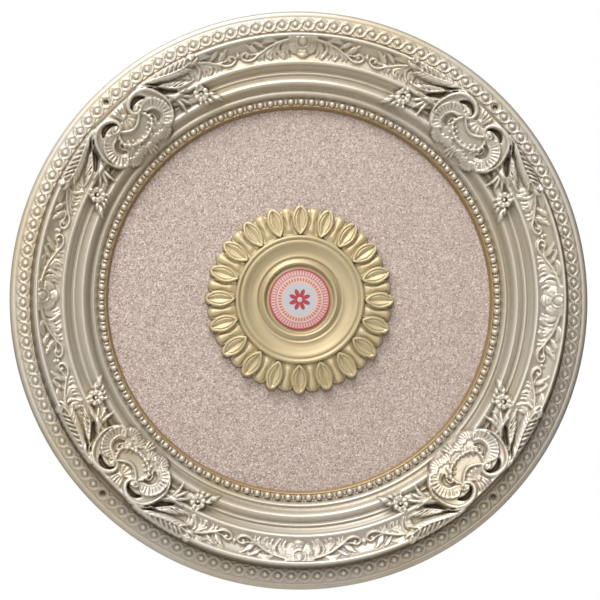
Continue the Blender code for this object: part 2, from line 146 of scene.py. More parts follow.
# A closed piece on polar rows. Each row is a (radius, height) pair in millimetres, single or one value per angle,
# and the rows run over the face from the middle outwards and back along the rear. A core closes the middle with
# flat ends, and a piece that doesn't run all around has an end wall on each side.
def castPiece(name, rows, angles, material, node, glazeShadeAndHighlight=None, around=True, core=False, sharpAngle=75):
    count = len(angles)
    sines, cosines = np.sin(angles), np.cos(angles)
    grid = np.empty((len(rows), count, 3))
    for k, (radius, height) in enumerate(rows):
        grid[k, :, 0] = radius * sines
        grid[k, :, 1] = -np.asarray(height)
        grid[k, :, 2] = radius * cosines
    index = np.arange(len(rows) * count).reshape(len(rows), count)
    if not core:
        index = np.vstack([index, index[:1]])
    if around:
        index = np.hstack([index, index[:, :1]])
    quads = np.stack([index[:-1, :-1], index[:-1, 1:], index[1:, 1:], index[1:, :-1]], axis=-1).reshape(-1, 4)
    faces = quads.tolist()
    if not around:
        faces.append(index[:len(rows), 0].tolist())
        faces.append(index[:len(rows), -1].tolist()[::-1])
    if core:
        faces.append(index[0, :count].tolist()[::-1])
        faces.append(index[len(rows) - 1, :count].tolist())
    mesh = bpy.data.meshes.new(name)
    mesh.from_pydata((grid.reshape(-1, 3) / 1000).tolist(), [], faces)
    mesh.shade_smooth()
    mesh.set_sharp_from_angle(angle=math.radians(sharpAngle))
    depth = np.zeros((len(rows), count))
    if glazeShadeAndHighlight is not None:
        depth[:len(glazeShadeAndHighlight)] = glazeShadeAndHighlight
    mesh.attributes.new("glazeShadeAndHighlight", "FLOAT", "POINT").data.foreach_set("value", depth.ravel().astype(np.float32))
    mesh.materials.append(material)
    piece = addObject(name, mesh)
    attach(piece, "root")
    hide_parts(node)
    print(name, "made,", 2 * len(quads), "triangles")
    return piece


def averaged(field, down, along, edge):
    # the mean of a field over a window, which "edge" carries on past its borders along the rows
    for axis, reach, mode in ((0, down, "edge"), (1, along, edge)):
        pads = [(0, 0), (0, 0)]
        pads[axis] = (reach + 1, reach)
        total = np.cumsum(np.pad(field, pads, mode=mode), axis=axis)
        size = field.shape[axis]
        upper = np.take(total, np.arange(2 * reach + 1, 2 * reach + 1 + size), axis=axis)
        field = (upper - np.take(total, np.arange(size), axis=axis)) / (2 * reach + 1)
    return field


def glazeShadeAndHighlightOf(heights, depth, edge, reach=2):
    # above zero in hollows, under their surroundings, where a glaze and painted shade darken the paint, and below
    # zero on crests, which get a painted highlight
    near = averaged(heights, reach, reach, edge) - heights
    wide = averaged(heights, 3 * reach, 3 * reach, edge) - heights
    kept = np.clip(near / depth, 0, 1) * 0.5 + np.clip(wide / (4 * depth) - 0.15, 0, 1) * 0.4
    return kept - np.clip(-near / depth - 0.1, 0, 1) * (kept == 0)


# Acrylic pearl paint, sprayed on moulded polystyrene foam and wiped with a brown glaze. It gives the eye a
# champagne sheen that drifts to lilac and gold, crests pale with a painted highlight, and brown in every hollow from
# the glaze and from painted shade.
pearlPaint = {
    "champagne": "c3beb1", "lilac": "c3bfb8", "gold": "c1b8a4", "paintedHighlight": "e8e4dc",
    "glazeAndShade": "6a5a3e", "innerGlaze": "977f58", "pearlGlazeAndShade": "957b4e",
    "slopeOuter": 0.2075, "slopeInner": 0.2005,       # radii in metres between which the inner slope turns gold-brown
    "pearlsOuter": 0.213, "pearlsInner": 0.207,       # and between which the glaze and painted shade turn paler
    "metallic": 0.45, "roughness": 0.42, "roughnessSpread": 0.06, "highlightStrength": -0.8,
    "driftSize": 110, "mottleSize": 4, "mottleDark": 0.76, "mottlePale": 1.06, "peelSize": 1.6, "peelDepth": 0.00006,
}


def makePearlPaint():
    p = pearlPaint
    material, tree, shader, place = newMaterial("champagne pearl paint", {
        "Metallic": p["metallic"], "IOR": 1.5, "Specular IOR Level": 0.5, "Coat Weight": 0.08, "Coat Roughness": 0.4})
    drift = addNode(tree, "TexNoise", {"Scale": perMetre(p["driftSize"]), "Detail": 1.0, "Vector": place})
    tone = addNode(tree, "ValToRGB", {"Fac": drift}, [(0.35, p["lilac"]), (0.65, p["gold"]), (0.5, p["champagne"])])
    mottle = addNode(tree, "TexNoise", {"Scale": perMetre(p["mottleSize"]), "Detail": 3.0, "Vector": place})
    mottleTone = addNode(tree, "MapRange", {"From Min": 0.3, "From Max": 0.7, "To Min": p["mottleDark"],
                         "To Max": p["mottlePale"], "Value": mottle})
    mottled = addNode(tree, "Mix", {"blend_type": "MULTIPLY", "Factor": 0.25, mixA: tone, mixB: mottleTone})
    # the inner slope beside the panel is wiped gold-brown
    reach = axisDistance(tree, place)
    inner = addNode(tree, "MapRange", {"From Min": p["slopeOuter"], "From Max": p["slopeInner"], "Value": reach})
    sloped = addNode(tree, "Mix", {mixB: toLinear(p["innerGlaze"]), 0: inner, mixA: mottled})
    # the glaze and painted shade that darken the hollows, paler beside the pearls
    glazeShadeAndHighlight = addNode(tree, "Attribute", {"attribute_name": "glazeShadeAndHighlight"}, give="Fac")
    patch = addNode(tree, "Math", {"operation": "MULTIPLY", "use_clamp": True, 0: glazeShadeAndHighlight, 1: mottleTone})
    nearPearls = addNode(tree, "MapRange", {"From Min": p["pearlsOuter"], "From Max": p["pearlsInner"],
                         "Value": reach})
    glazeAndShade = addNode(tree, "Mix", {mixA: toLinear(p["glazeAndShade"]), mixB: toLinear(p["pearlGlazeAndShade"]), 0: nearPearls})
    glazedAndShaded = addNode(tree, "Mix", {0: patch, mixA: sloped, mixB: glazeAndShade})
    # a painted highlight on the crests, which lightens their colour
    crest = addNode(tree, "Math", {"operation": "MULTIPLY", 1: p["highlightStrength"], "use_clamp": True, 0: glazeShadeAndHighlight})
    paintedHighlight = addNode(tree, "Mix", {mixB: toLinear(p["paintedHighlight"]), 0: crest, mixA: glazedAndShaded})
    tree.links.new(paintedHighlight, shader.inputs["Base Color"])
    rough = addNode(tree, "MapRange", {"To Min": p["roughness"] - p["roughnessSpread"],
                    "To Max": p["roughness"] + p["roughnessSpread"], "Value": mottle})
    tree.links.new(rough, shader.inputs["Roughness"])
    addRelief(tree, shader, place, p["peelSize"], 2.0, 0.6, p["peelDepth"])
    return material


# Satin gold acrylic, brushed over the same moulded foam: an olive-gold sheen with a darker glaze and painted shade
# between the eggs.
goldPaint = {
    "gold": "c3b593", "paleGold": "ccc09f", "glazeAndShade": "857554", "metallic": 0.4, "roughness": 0.46,
    "driftSize": 45, "peelSize": 1.4, "peelDepth": 0.00006,
}


def makeGoldPaint():
    p = goldPaint
    material, tree, shader, place = newMaterial("satin gold paint", {
        "Metallic": p["metallic"], "Roughness": p["roughness"], "Coat Weight": 0.1, "Coat Roughness": 0.3})
    drift = addNode(tree, "TexNoise", {"Scale": perMetre(p["driftSize"]), "Detail": 4.0, "Vector": place})
    tone = addNode(tree, "ValToRGB", {"Fac": drift}, [(0.35, p["gold"]), (0.65, p["paleGold"])])
    glazeShadeAndHighlight = addNode(tree, "Attribute", {"attribute_name": "glazeShadeAndHighlight"}, give="Fac")
    glazedAndShaded = addNode(tree, "Mix", {mixB: toLinear(p["glazeAndShade"]), 0: glazeShadeAndHighlight, mixA: tone})
    tree.links.new(glazedAndShaded, shader.inputs["Base Color"])
    addRelief(tree, shader, place, p["peelSize"], 2.0, 0.6, p["peelDepth"])
    return material


# Glitter sand in clear lacquer on a foam board: pink-beige grains of about a millimetre, some of them flakes that
# flash, partly by their slant and partly by a painted glint in their colour, and some dark. Real grit of 0.4 mm
# wouldn't show, so it is drawn at 1.1 mm.
glitterSand = {
    "dark": "897770", "low": "a4958f", "middle": "b1a29e", "high": "beb1ad", "glintTone": "e0d9d7",
    "grainSize": 1.15, "tilt": 0.35, "roughness": 0.45, "metallic": 0.12,
    "patchSize": 70, "patchDark": 0.95, "patchPale": 1.05,
}


def makeGlitterSand():
    p = glitterSand
    material, tree, shader, place = newMaterial("pink glitter sand", {
        "Metallic": p["metallic"], "Roughness": p["roughness"], "IOR": 1.5})
    grain = addNode(tree, "TexVoronoi", {"Scale": perMetre(p["grainSize"]), "Vector": place}, give="Color")
    pick = addNode(tree, "SeparateColor", {"Color": grain})
    # the palest grains carry a painted glint
    tone = addNode(tree, "ValToRGB", {"Fac": pick}, [
        (0, p["dark"]), (1, p["glintTone"]), (0.22, p["low"]), (0.5, p["middle"]), (0.8, p["high"])])
    patch = addNode(tree, "TexNoise", {"Scale": perMetre(p["patchSize"]), "Detail": 2.0, "Vector": place})
    fade = addNode(tree, "MapRange", {"To Min": p["patchDark"], "To Max": p["patchPale"], "Value": patch})
    toned = addNode(tree, "Mix", {"blend_type": "MULTIPLY", "Factor": 1.0, mixA: tone, mixB: fade})
    tree.links.new(toned, shader.inputs["Base Color"])
    # each flake lies at its own slant
    lean = addNode(tree, "VectorMath", {"operation": "SUBTRACT", 1: (0.5, 0.5, 0.5), 0: grain})
    slant = addNode(tree, "VectorMath", {"operation": "SCALE", "Scale": p["tilt"], 0: lean})
    face = addNode(tree, "NewGeometry", {}, give="Normal")
    leaned = addNode(tree, "VectorMath", {"operation": "ADD", 0: face, 1: slant})
    facing = addNode(tree, "VectorMath", {"operation": "NORMALIZE", 0: leaned})
    tree.links.new(facing, shader.inputs["Normal"])
    return material


# Coated paper, offset printed: smooth, a little glossy, with rings of plain ornament in red, orange and cream.
printedPaper = {
    "red": "a2363f", "pink": "b5737b", "cream": "ccb0ae", "orange": "ae7350", "pale": "b3b6c2",
    "radius": 0.0318, "roughness": 0.42, "fibreSize": 0.8, "fibreDepth": 0.00003,
    # lengths along the radius are shares of it
    "creamFrom": 0.53, "pinkFrom": 0.76, "redFrom": 0.955,
    "ticks": (60, 0.79, 0.93, -0.1),      # count, inner and outer end, and how narrow each one is
    "strokes": (44, 0.6, 0.71, -0.2),
    "petalCount": 8, "heart": 0.08, "petalFoot": 0.16, "petalTip": 0.36,
}


def makePrintedPaper():
    p = printedPaper
    material, tree, shader, place = newMaterial("printed paper", {"Roughness": p["roughness"], "IOR": 1.48})
    parts = addNode(tree, "SeparateXYZ", {"Vector": place})
    reach = axisDistance(tree, place)
    share = addNode(tree, "Math", {"operation": "DIVIDE", 1: p["radius"], 0: reach})
    turn = addNode(tree, "Math", {"operation": "ARCTAN2", 0: parts, 1: parts.node.outputs["Z"]})
    colour = addNode(tree, "ValToRGB", {"Fac": share}, [
        (0, p["pale"]), (p["redFrom"], p["red"]), (p["creamFrom"], p["cream"]), (p["pinkFrom"], p["pink"])])
    colour.node.color_ramp.interpolation = "CONSTANT"
    for (count, low, high, level), ink in ((p["ticks"], p["cream"]), (p["strokes"], p["orange"])):
        beat = addNode(tree, "Math", {"operation": "MULTIPLY", 1: count, 0: turn})
        wave = addNode(tree, "Math", {"operation": "SINE", 0: beat})
        on = addNode(tree, "Math", {"operation": "GREATER_THAN", 1: level, 0: wave})
        past = addNode(tree, "Math", {"operation": "GREATER_THAN", 1: low, 0: share})
        under = addNode(tree, "Math", {"operation": "LESS_THAN", 1: high, 0: share})
        inside = addNode(tree, "Math", {"operation": "MULTIPLY", 0: past, 1: under})
        drawn = addNode(tree, "Math", {"operation": "MULTIPLY", 0: on, 1: inside})
        colour = addNode(tree, "Mix", {mixA: colour, mixB: toLinear(ink), 0: drawn})
    # and a plain flower of rounded petals in the middle
    beat = addNode(tree, "Math", {"operation": "MULTIPLY", 1: p["petalCount"] / 2, 0: turn})
    wave = addNode(tree, "Math", {"operation": "SINE", 0: beat})
    lobe = addNode(tree, "Math", {"operation": "ABSOLUTE", 0: wave})
    edge = addNode(tree, "MapRange", {"To Min": p["petalFoot"], "To Max": p["petalTip"], "Value": lobe})
    petal = addNode(tree, "Math", {"operation": "LESS_THAN", 0: share, 1: edge})
    heart = addNode(tree, "Math", {"operation": "GREATER_THAN", 1: p["heart"], 0: share})
    flower = addNode(tree, "Math", {"operation": "MULTIPLY", 0: petal, 1: heart})
    colour = addNode(tree, "Mix", {mixA: colour, mixB: toLinear(p["red"]), 0: flower})
    tree.links.new(colour, shader.inputs["Base Color"])
    addRelief(tree, shader, place, p["fibreSize"], 3.0, 0.3, p["fibreDepth"])
    return material


pearl, gold, sand, paper = makePearlPaint(), makeGoldPaint(), makeGlitterSand(), makePrintedPaper()
print("materials made")


# Moulded ring. All of its sizes are in millimetres.
ring = {
    "innerEdge": 208.8,       # where the carved blocks meet the pearl string
    "bandFoot": 279.6,        # and where they meet the outer band
    "crest": 273.6,           # outer edge of the crest, from which drawn depths count inwards
    "trueArc": 261.3,         # radius at which drawn lengths along the ring are true
    "quarters": 4, "halfColumns": 250, "rowStep": 0.72,
    "carvingEdge": 2.2,       # the frieze keeps this far inside the crest
    "leafStart": 24.9, "leafBlend": 0.8,      # degrees from the half-flower where the great leaf takes over
    "coveStart": 258,
    # reach and depth of the glaze and painted shade in the hollows
    "glazeShadeReach": 4, "glazeShadeDepth": 1.7,
}
# the section under the carving, from the pearl ledge outwards
mouldings = [
    (208.8, 10.6), (209.6, 11.6), (211, 14), (212.4, 16), (213.4, 16.9), (214.2, 17), (215, 16.6),
    (216.2, 16.3), (218, 16.9), (220, 18.5), (221.6, 20.6), (223, 22.4), (224.4, 23.5), (225.6, 23.6),
    (227.2, 22.8), (229, 21.2), (230.6, 19.5), (231.5, 18.7), (232.2, 18.9), (233, 20.1), (234.2, 20.9),
    (235.2, 20.4), (235.9, 19.3), (236.6, 19.1), (238.6, 20.2), (240.6, 22.3), (241.5, 23.3), (242.3, 23.6),
    (243, 25.6), (243.9, 28.2), (244.7, 28.9), (245.9, 29.2), (246.8, 28.9), (247.6, 27.9), (250, 27.2),
    (254, 26.6), (258, 26.7), (262, 27.7), (266, 29.6), (269, 31.8), (270.8, 33.8), (271.4, 35.6),
    (272.2, 37.4), (273.2, 38.2), (274.2, 38), (274.9, 36.6), (275.4, 32), (276, 26), (276.8, 20),
    (277.8, 15.6), (278.8, 13.2), (279.6, 12.4)]
crestRadius = ring["crest"]
arcPerDegree = math.radians(1) * ring["trueArc"]


def flat(places):
    # (degrees from a half-flower, millimetres inside the crest) to the strip's own millimetres
    return np.array([(angle * arcPerDegree, crestRadius - depth) for angle, depth in places])


def smoothLine(places, steps=6):
    knots = flat(places)
    ends = np.vstack([2 * knots[0] - knots[1], knots, 2 * knots[-1] - knots[-2]])
    share = np.linspace(0, 1, steps, endpoint=False)[:, None]
    line = []
    for a, b, c, d in zip(ends, ends[1:], ends[2:], ends[3:]):
        line.append(0.5 * (2 * b + (c - a) * share + (2 * a - 5 * b + 4 * c - d) * share ** 2
                           + (3 * b - a - 3 * c + d) * share ** 3))
    return np.vstack(line + [knots[-1:]])


# Heights over the unrolled strip. Each form is laid on its ground, and the highest one shows.
class Relief:
    def __init__(self, along, radius, ground, limit):
        self.along, self.radius = along, radius
        self.ground, self.height = ground.copy(), ground.copy()
        self.limit = limit    # no form is laid outside this radius

    def near(self, low, high):
        return (self.along > low[0]) & (self.along < high[0]) & (self.radius > low[1]) & (self.radius < high[1])

    def lay(self, where, rise, inside):
        top = self.ground[where] + rise
        inside = inside & (self.radius[where] < self.limit)
        self.height[where] = np.where(inside, np.maximum(self.height[where], top), self.height[where])

    # for the cells within reach of a line: where they are, and each one's gap to it, share along it and side
    def measure(self, places, reach):
        line = smoothLine(places)
        where = self.near(line.min(0) - reach, line.max(0) + reach)
        along, radius = self.along[where], self.radius[where]
        best, share, side = np.full(along.shape, np.inf), np.zeros(along.shape), np.ones(along.shape)
        runs = np.diff(line, axis=0)
        lengths = np.hypot(runs[:, 0], runs[:, 1])
        starts = np.concatenate(([0], np.cumsum(lengths)))
        for start, run, length, before in zip(line, runs, lengths, starts):
            x, y = along - start[0], radius - start[1]
            part = np.clip((x * run[0] + y * run[1]) / length ** 2, 0, 1)
            gap = np.hypot(x - part * run[0], y - part * run[1])
            nearer = gap < best
            best = np.where(nearer, gap, best)
            share = np.where(nearer, before + part * length, share)
            side = np.where(nearer, np.sign(run[0] * y - run[1] * x), side)
        return where, best, share / starts[-1], side

    # for the cells about a point: where they are and how far from it both ways
    def about(self, centre, reach):
        spot = flat([centre])[0]
        where = self.near(spot - reach, spot + reach)
        return where, self.along[where] - spot[0], self.radius[where] - spot[1]

    # a round cord, which can taper to another width and rise, or swell in its middle
    def cord(self, places, width, rise, endWidth=None, endRise=None, belly=0):
        where, gap, share, _ = self.measure(places, 2 * width + 3)
        half = width + ((endWidth or width) - width) * share
        half = half * (1 + belly * np.sin(math.pi * share))
        top = rise + ((endRise or rise) - rise) * share
        across = np.minimum(gap / half, 1)
        self.lay(where, top * np.sqrt(1 - across ** 2), gap < half)

    # a leaf finger: rounded on both sides of a crease
    def strand(self, places, width, rise, belly=0.7, crease=0.35, blunt=0.12):
        where, gap, share, _ = self.measure(places, width + 1)
        form = np.maximum(np.sin(math.pi * share ** belly) ** 0.8, blunt * (1 - share))
        half = np.maximum(width * form, 1e-6)
        across = np.minimum(gap / half, 1)
        dip = 1 - crease * np.exp(-(gap / (0.22 * width + 0.15)) ** 2)
        body = np.sqrt(1 - across ** 2.4) * dip * (0.45 + 0.55 * form)
        self.lay(where, rise * body, gap < half)

    def knob(self, centre, width, rise, power=0.5):
        where, x, y = self.about(centre, width)
        across = np.hypot(x, y) / width
        self.lay(where, rise * np.maximum(1 - across ** 2, 0) ** power, across < 1)

    def ringCord(self, centre, reach, width, rise):
        where, x, y = self.about(centre, reach + width)
        gap = np.abs(np.hypot(x, y) - reach) / width
        self.lay(where, rise * np.sqrt(np.maximum(1 - gap ** 2, 0)), gap < 1)

    # a fluted shell or flower with a scalloped edge
    def fan(self, centre, inner, outer, start, sweep, flutes, rise, scallop=0.14, groove=0.42, slope=0.35,
            bulge=0.5, rim=0):
        where, x, y = self.about(centre, outer)
        reach = np.hypot(x, y)
        turn = (np.degrees(np.arctan2(y, x)) - start) % 360 / sweep
        flute = np.abs(np.sin(math.pi * flutes * np.minimum(turn, 1))) ** bulge
        edge = outer * (1 - scallop * (1 - flute))
        out = (reach - inner) / (edge - inner)
        share = np.clip(out, 0, 1)
        body = (1 - slope + slope * share) * (1 - groove * (1 - flute) * np.minimum(share * 3 + 0.25, 1))
        body *= np.sqrt(np.minimum((1 - share) * 4, 1)) * np.sqrt(np.minimum(share * 8, 1))
        body += rim * np.exp(-((edge - reach - 1) / 0.7) ** 2) / rise
        self.lay(where, rise * body, (out > 0) & (out < 1) & (turn <= 1))

    # a fluted band on one side of its inner line, with a raised outer edge
    def frill(self, places, width, rise, flutes, groove=0.5):
        where, gap, share, turned = self.measure(places, width * 1.2)
        full = width * np.sqrt(np.clip(2.4 * np.sin(math.pi * np.clip(share, 0, 1)), 0, 1))
        flute = np.abs(np.cos(math.pi * flutes * share)) ** 0.7
        full = np.maximum(full * (0.94 + 0.06 * flute), 1e-3)
        out = np.minimum(gap / full, 1)
        body = (0.55 + 0.45 * np.sin(math.pi * out * 0.6)) * (1 - groove * (1 - flute) * np.sin(math.pi * out))
        body = rise * body + 1.2 * np.exp(-((1 - out) * full - 1.1) ** 2 / 0.6)
        body = body * np.sqrt(np.minimum((1 - out) * full / 0.8, 1))
        self.lay(where, body, (turned < 0) & (gap < full) & (share > 0.001) & (share < 0.999))

    # a hollow with a flat bottom
    def sink(self, places, width, depth):
        where, gap, share, _ = self.measure(places, width)
        half = width * np.sqrt(np.sin(math.pi * np.clip(share, 0.03, 0.97)))
        across = np.minimum(gap / half, 1)
        self.height[where] -= depth * (1 - across ** 4) ** 0.7


def mirrored(places, flip):
    return [(30 - angle, depth) for angle, depth in places] if flip else places


def carveHalfFlower(relief):
    relief.fan((0, 7.6), 6, 16.4, 125, 290, 5, 3.9, scallop=0.16, groove=0.5, slope=0.05, bulge=0.45, rim=0.9)
    relief.fan((0, 7.6), 5, 12.6, 125, 290, 10, 4.3, scallop=0.1, groove=0.35, slope=0.2, bulge=0.6)
    relief.ringCord((0, 7.4), 6.4, 1.2, 5.2)
    relief.knob((0, 7.2), 6, 6.4, 0.6)


frieze = {
    # lobes that hang from the stem, each with its width and rise
    "lobes": [
        ([(3.3, 5.9), (3.6, 12), (3.5, 18.6), (2.9, 24)], 2.4, 2.8),
        ([(3.5, 7), (4.4, 12.6), (4.4, 18.4), (3.7, 24.6)], 2.4, 3),
        ([(5.2, 9), (5.6, 14.4), (5.2, 19.8), (4.5, 25)], 2.2, 3.2),
        ([(5.6, 9), (6.3, 14.4), (6.5, 19.6), (5.9, 24.8)], 2, 2.8),
        ([(6.2, 10.4), (7.1, 15.4), (7.4, 20.4), (6.8, 24.8)], 2.2, 3.1),
        ([(7.4, 12.6), (8.1, 16.6), (8.3, 20.6), (7.7, 24.6)], 1.9, 3),
        ([(8.3, 14.4), (9.1, 17.6), (9.5, 21), (9.1, 24.4)], 1.8, 2.9),
        ([(9.4, 17.4), (10.1, 20), (10.4, 22.6), (10.1, 24.6)], 1.3, 2.4)],
    # leaves above the stem, tucked under the crest
    "leaves": [
        ([(5.4, 6.6), (7, 4.6), (8.6, 5.6), (9.3, 8.8)], 2.8, 3.2),
        ([(8.4, 12), (9.6, 8), (10.6, 5.2), (11.4, 4.2)], 2.4, 3.6),
        ([(10.2, 15.6), (10.9, 12), (11.4, 8.6), (11.3, 5.6)], 2.2, 4),
        ([(10.8, 16.2), (11.6, 11.6), (12.2, 7.4), (13.3, 4.4)], 2, 3.4)],
    # two tendrils, the stem that ends in a curl, and the curl's side shoot
    "cords": [
        ([(3.3, 5.9), (4.4, 7.2), (5.3, 9.9), (5.7, 13.6), (5.4, 17.3), (4.9, 20.4), (4.4, 24)], 1.2, 3.8, 1, 3),
        ([(6, 9.2), (7, 13), (7.8, 16.1), (8.1, 19.2), (7.9, 22.3), (7.5, 24.1)], 0.9, 3.4, 0.8, 3),
        ([(2.4, 4.6), (3.5, 5.4), (5.6, 7.8), (7.5, 10.9), (8.9, 14.2), (10.1, 17), (11, 19.4), (11.7, 21.2),
          (12.8, 21.8), (13.8, 20.2), (14.25, 17.2), (13.9, 14.4), (13.1, 13.5), (12.5, 15.2)],
         1.4, 4, 1.3, 4.2, 0.15),
        ([(9.8, 15.6), (10.9, 16.6), (11.8, 16.2), (12.6, 15.2)], 1.2, 3.4)],
    "knobs": [((9.3, 8.6), 1.5, 4.2), ((13, 16.6), 2.2, 3.6)],
}


def carveFrieze(relief):
    for flip in (False, True):
        for places, width, rise in frieze["lobes"]:
            relief.strand(mirrored(places, flip), width, rise, 0.8, 0.3, 0.5)
        for places, width, rise in frieze["leaves"]:
            relief.strand(mirrored(places, flip), width, rise, 0.9, 0.3, 0.3)
        for places, *sizes in frieze["cords"]:
            relief.cord(mirrored(places, flip), *sizes)
        for place, width, rise in frieze["knobs"]:
            relief.knob(mirrored([place], flip)[0], width, rise)
    relief.knob((15, 14.8), 2.4, 3.6)
    relief.strand([(15, 15), (15, 12.4), (15, 10.2)], 1.6, 2.6)


greatLeaf = {
    "midrib": [(38.4, -1.6), (35.4, 0.6), (33, 3.6), (30.6, 6), (28.2, 6.8), (26.2, 5.4), (25, 2.2)],
    "starts": (38, 36.4, 35, 33.7, 32.5, 31.4, 30.3, 29.2, 28.1),     # degrees where strands leave the midrib
    "innerStart": 36.5,       # strands grow inwards too, below this
    "tipDepth": -3.9,
    "plateau": 1.8,           # how far the leaf lies below its strands' feet
}


def carveGreatLeaves(relief):
    ground = relief.ground
    relief.limit = np.inf
    depths = crestRadius - relief.radius
    # the leaf's own body, which laps over the crest and the cove
    raised = np.interp(depths, (-4.6, -4, -1, 3, 8, 12, 14, 16), (0, 31, 35.2, 35.4, 33.4, 31, 28.6, 26.5))
    midrib = greatLeaf["midrib"]
    where, gap, share, _ = relief.measure(midrib, 12)
    half = np.interp(share, (0, 0.3, 0.5, 0.8, 1), (1.6, 3.2, 5.6, 6.2, 4))
    body = raised[where] - 0.8 + 1.2 * np.sqrt(1 - np.minimum(gap / half, 1) ** 2)
    relief.height[where] = np.where(gap < half, np.maximum(relief.height[where], body), relief.height[where])
    relief.ground = np.maximum(raised, ground)
    # its feathered sides: strands that leave the midrib and lean towards the tip
    turned = relief.along / arcPerDegree
    ribTurns, ribDepths = np.array(midrib[::-1]).T
    under = (turned > 26.2) & (turned < 38) & (depths > -3.4) & (depths < np.interp(turned, ribTurns, ribDepths))
    relief.height = np.where(under, np.maximum(relief.height, raised - greatLeaf["plateau"]), relief.height)
    for start in greatLeaf["starts"]:
        foot = np.interp(start, ribTurns, ribDepths)
        out = foot - greatLeaf["tipDepth"]
        outer = [(start, foot), (start - 0.7 - 0.07 * out, foot - 0.55 * out),
                 (start - 1.1 - 0.17 * out, greatLeaf["tipDepth"])]
        relief.strand(outer, 1.2, 4.6, 0.6, 0.15, 0.4)
        if start < greatLeaf["innerStart"]:
            inward = [(start, foot), (start - 1, foot + 2.6), (start - 2.5, foot + 6.6)]
            relief.strand(inward, 1.3, 5, 0.8, 0.15, 0.4)
    relief.cord(midrib, 1.3, 5.4, 1, 4.6)
    relief.strand([(26.4, 5.6), (24.9, 6), (24, 3.6), (24, 0.6)], 2, 4.2, 0.8, 0.3, 0.5)
    relief.knob((25.2, -0.6), 3.7, 4.8)
    relief.ringCord((25.2, -0.6), 2.9, 0.9, 5.6)
    relief.ground = ground
    # the leaf below it, which bends round the lens-shaped hole
    rib = [(35, 8), (33.8, 12.2), (32.4, 17.4), (30.6, 21.4), (28.4, 22.8), (26.6, 21.8)]
    for places in (
            [(34.6, 9.4), (33.2, 11), (31.4, 13.2)], [(34.2, 11.6), (32.2, 13), (30, 14.6)],
            [(33.6, 14.2), (31.6, 15.2), (28.8, 16.4)], [(32.8, 16.8), (30.8, 17.4), (27.9, 18.2)],
            [(31.8, 19.4), (29.8, 19.6), (27.2, 20)], [(30.4, 21.6), (28.8, 21.6), (26.6, 21.8)]):
        relief.strand(places, 1.15, 5.4, 0.8, 0.15, 0.4)
    relief.cord(rib, 1.3, 5, 1, 4)
    relief.sink([(34.6, 11.4), (34.2, 15), (33.2, 19.2), (31.9, 22.6), (31.3, 24)], 2.7, 9)
    relief.cord([(29.4, 26.6), (31.6, 27), (33.3, 24.8), (34.6, 20.8), (35.3, 16.4)], 1.2, 4.4)


def carveDaisy(relief):
    ground = relief.ground
    depths = crestRadius - relief.radius
    raised = np.interp(depths, (20, 26, 33, 40, 46, 50, 56, 61), (0, 24.4, 24.2, 23.8, 23.2, 21, 17.6, 14))
    relief.ground = np.maximum(raised, ground)
    centre = (26.4, 38.2)
    stalk = [(33.8, 27.5), (32, 32), (29.8, 37), (27.6, 39.6), (24.4, 43.6), (22.6, 48.4)]
    relief.cord(stalk, 7, 0.6, 2.4, 0.4)
    relief.ground = relief.ground + 1.4
    relief.fan(centre, 3, 9.2, 10, 360, 8, 2.9, scallop=0.16, groove=0.6, slope=0, bulge=0.6, rim=0.5)
    relief.ringCord(centre, 3.7, 1, 2.6)
    relief.knob(centre, 2.2, 3.4)
    for places, width in (
            ([(24.8, 41), (23.6, 43), (22.8, 44)], 1.7), ([(24.6, 43.6), (23.4, 47.6), (21.5, 53.6)], 2.3),
            ([(24, 45.6), (22.8, 47.4), (21.8, 48)], 1.4), ([(25.4, 44.8), (24.9, 48.8), (24, 51.6)], 1.9),
            ([(26.4, 45.6), (26.2, 48.8), (25.6, 51.2)], 1.7), ([(27.4, 44.8), (27.6, 47.6), (27.4, 50.2)], 1.6)):
        relief.strand(places, width, 3.4, 0.9)
    for places, width in (
            ([(33.4, 25), (31.2, 30.2), (29.4, 34.6), (28.5, 37.2)], 1.9),
            ([(33.4, 25.4), (31.8, 31.6), (30.7, 37.6), (29.8, 43.4)], 1.9),
            ([(33.4, 26), (32.3, 33.6), (31.9, 40.4), (31.9, 48)], 2)):
        relief.strand(places, width, 4.2, 1.2, 0.35, 0.3)
    relief.ground = ground


